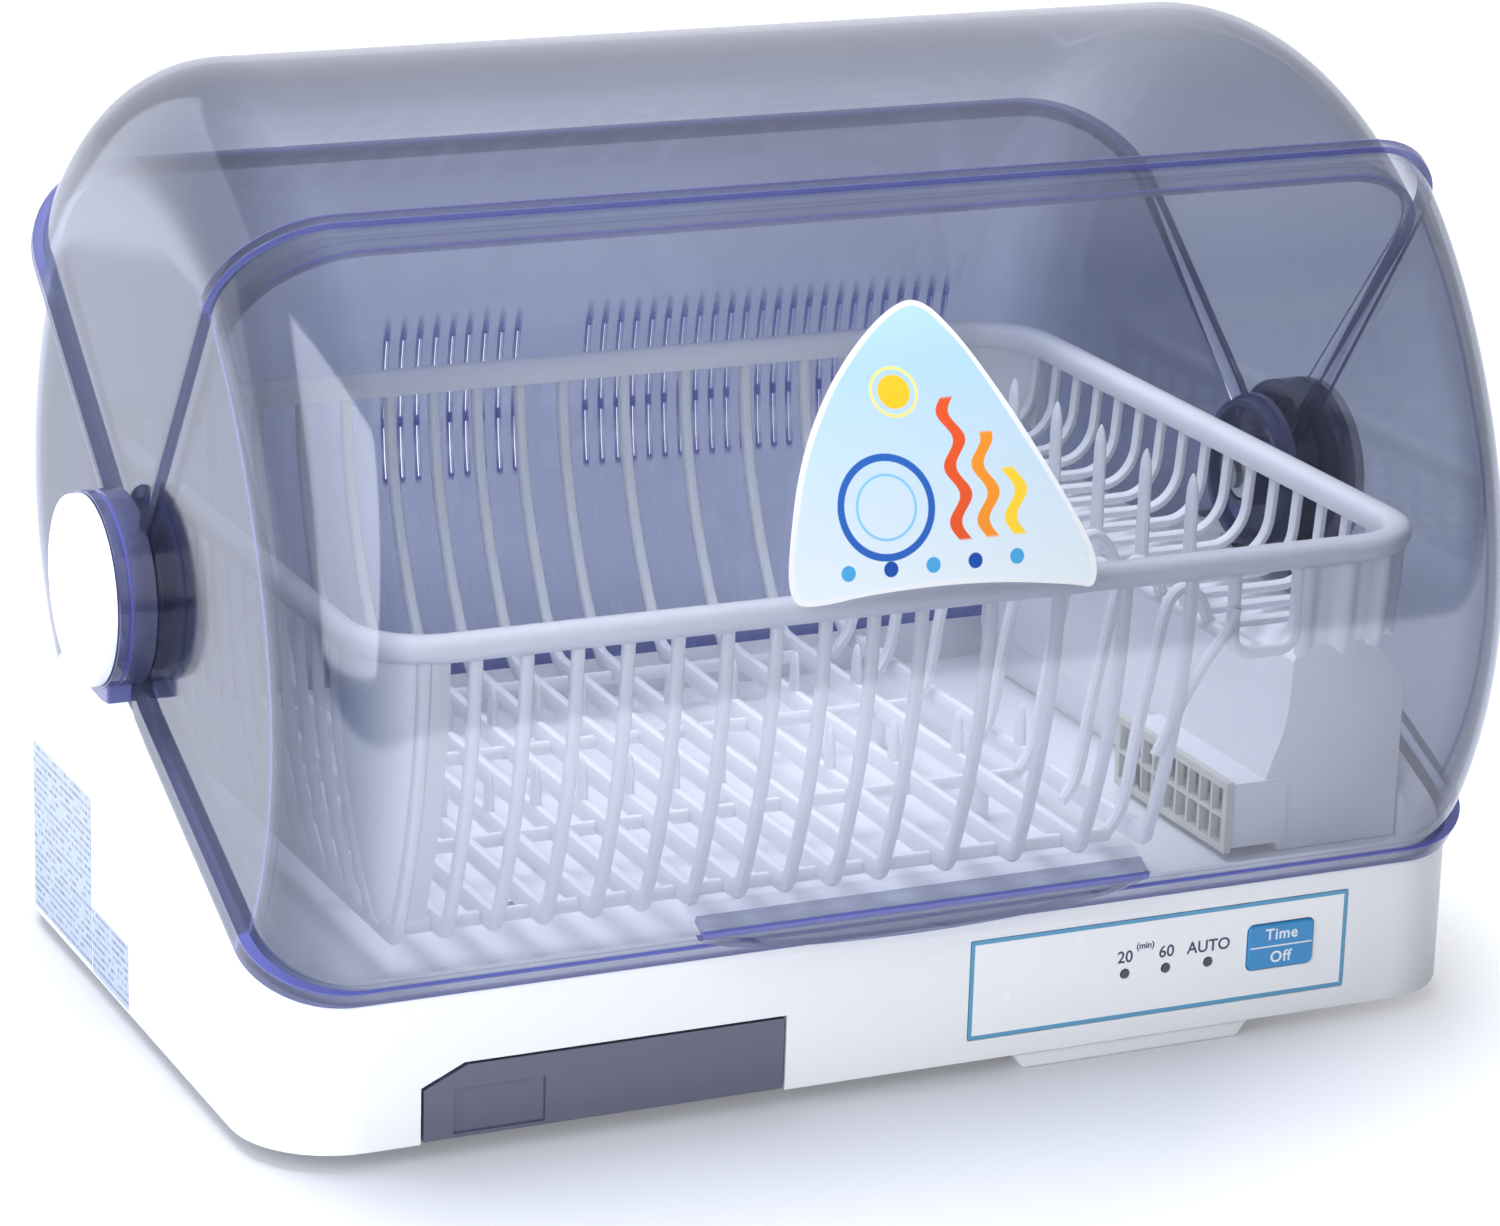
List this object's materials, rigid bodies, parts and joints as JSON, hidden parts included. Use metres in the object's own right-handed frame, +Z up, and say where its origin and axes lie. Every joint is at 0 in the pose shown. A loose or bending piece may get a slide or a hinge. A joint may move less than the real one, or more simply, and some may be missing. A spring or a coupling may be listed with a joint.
{
  "type": "electric dish dryer",
  "caption": "Tabletop electric dish dryer with a white base, a lift-out dish basket, a clear fixed rear cover and two clear nested lids that swing back, a warm-air blower and a drip tray",
  "frame": {"origin": "middle of the bounding box on the plane that the feet stand on", "axes": "+X to the right seen from the front, -Y out of the front with the control panel, +Z up"},
  "size_m": [0.515, 0.3694, 0.3513],
  "materials": {
    "white_abs": "fine satin moulded ABS, cool white",
    "clear_blue": "clear moulded polystyrene with a blue-violet tint, polished",
    "smoky_clear": "smoky violet translucent moulded plastic, polished",
    "white_pp": "moulded polypropylene, soft gloss, white",
    "cap_white": "gloss white ABS",
    "grey_pp": "heat-resistant greyish-beige plastic",
    "rubber": "dark soft rubber",
    "steel": "zinc-plated steel",
    "mica": "mica heater board",
    "heating_wire": "bare resistance wire",
    "dark_plastic": "dark moulded plastic",
    "cream_plastic": "cream moulded plastic",
    "overlay": "printed polyester overlay, white with a blue border",
    "button_blue": "mid-blue moulded key",
    "board_green": "green glass-fibre circuit board",
    "lamp": "dark unlit indicator lens"
  },
  "bodies": {
    "base": {"base_shell": "white_abs", "bottom_cover": "white_abs", "front_foot_rail": "white_abs", "foot_front_left": "rubber", "foot_front_right": "rubber", "foot_rear_left": "rubber", "foot_rear_right": "rubber", "bottom_screw_1": "steel", "bottom_screw_2": "steel", "bottom_screw_3": "steel", "bottom_screw_4": "steel", "rear_cover": "clear_blue", "pivot_cap_left": "cap_white", "pivot_cap_right": "cap_white", "pivot_screw_left": "steel", "pivot_screw_right": "steel", "outer_washer_left": "grey_pp", "outer_washer_right": "grey_pp", "inner_washer_left": "grey_pp", "inner_washer_right": "grey_pp", "blower_cover": "white_abs", "air_outlet_grille": "grey_pp", "fan_housing": "grey_pp", "fan_motor": "steel", "motor_mount": "steel", "heater_frame": "mica", "heater_element": "heating_wire", "thermostat": "dark_plastic", "terminal_block": "cream_plastic", "cord_grommet": "rubber", "control_panel": "overlay", "lamp_20": "lamp", "lamp_60": "lamp", "lamp_auto": "lamp", "key_switch": "dark_plastic", "control_board": "board_green"},
    "upper_lid": {"upper_lid": "clear_blue"},
    "front_lid": {"front_lid": "clear_blue"},
    "dish_basket": {"dish_basket": "white_pp"},
    "drip_tray": {"drip_tray": "smoky_clear"},
    "time_off_button": {"time_off_button": "button_blue"},
    "fan_rotor": {"fan_wheel": "grey_pp", "motor_shaft": "steel"}
  },
  "joints": [
    {"name": "upper_lid_hinge", "type": "hinge", "parent": "base", "child": "upper_lid", "pos_m": [0, 0.004, 0.1666], "axis": [-1, 0, 0], "range_deg": [0, 68]},
    {"name": "front_lid_hinge", "type": "hinge", "parent": "upper_lid", "child": "front_lid", "pos_m": [0, 0.004, 0.1666], "axis": [-1, 0, 0], "range_deg": [0, 70]},
    {"name": "basket_lift", "type": "slide", "parent": "base", "child": "dish_basket", "axis": [0, 0, 1], "range_m": [0, 0.02]},
    {"name": "tray_slide", "type": "slide", "parent": "base", "child": "drip_tray", "axis": [0, -1, 0], "range_m": [0, 0.12]},
    {"name": "button_press", "type": "slide", "parent": "base", "child": "time_off_button", "axis": [0, 1, 0], "range_m": [0, 0.001], "stiffness_N_per_m": 600},
    {"name": "fan_spin", "type": "hinge", "parent": "base", "child": "fan_rotor", "pos_m": [0.1958, 0.062, 0.027], "axis": [0, 0, 1], "continuous": true}
  ]
}
